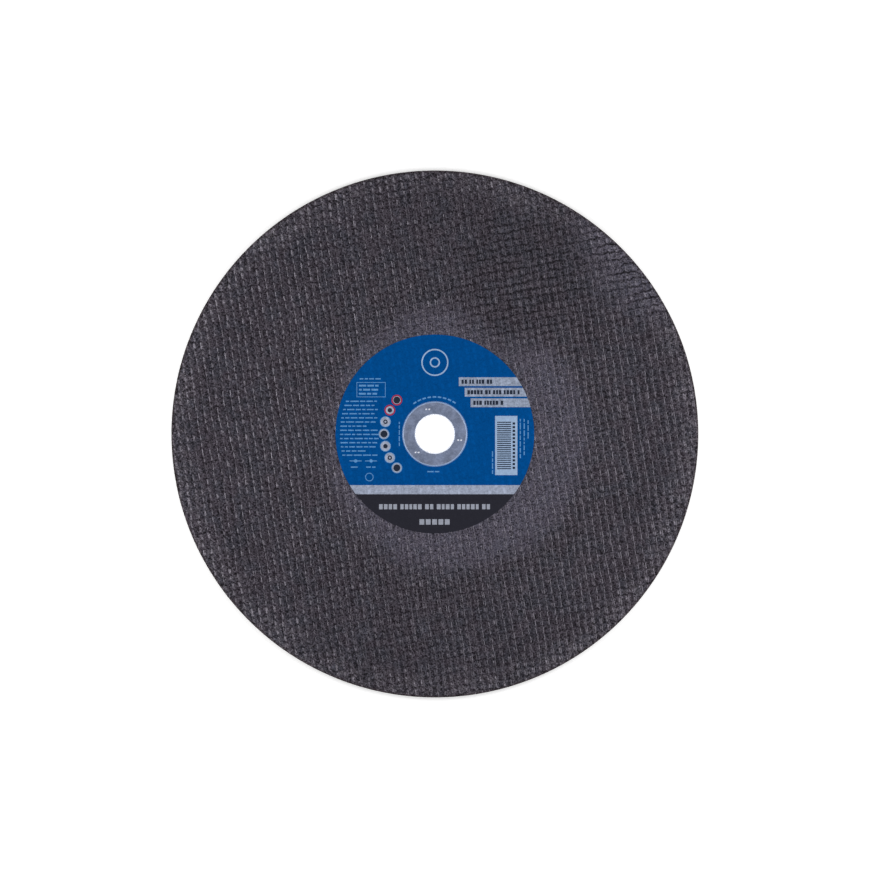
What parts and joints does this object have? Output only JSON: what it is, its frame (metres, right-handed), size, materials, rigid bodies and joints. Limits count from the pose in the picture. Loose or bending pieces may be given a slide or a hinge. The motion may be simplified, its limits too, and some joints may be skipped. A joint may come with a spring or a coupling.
{
  "type": "cut-off wheel",
  "caption": "Flat round abrasive cut-off wheel with a woven glass net pressed into both faces, a printed paper label and a steel bore ring, for a chop saw's spindle.",
  "frame": {"origin": "centre of the wheel on the plane of its rear face", "axes": "+Z along the bore out of the label's face, +Y towards the top of the label, +X to its right"},
  "size_m": [0.35, 0.35, 0.005],
  "materials": {
    "abrasive": "rough cured resin and grain with a glass net",
    "label_paper": "printed matt paper",
    "ring_steel": "dull pressed steel"
  },
  "bodies": {
    "root": {"abrasive_disc": "abrasive", "paper_label": "label_paper", "bore_ring": "ring_steel"}
  },
  "joints": []
}
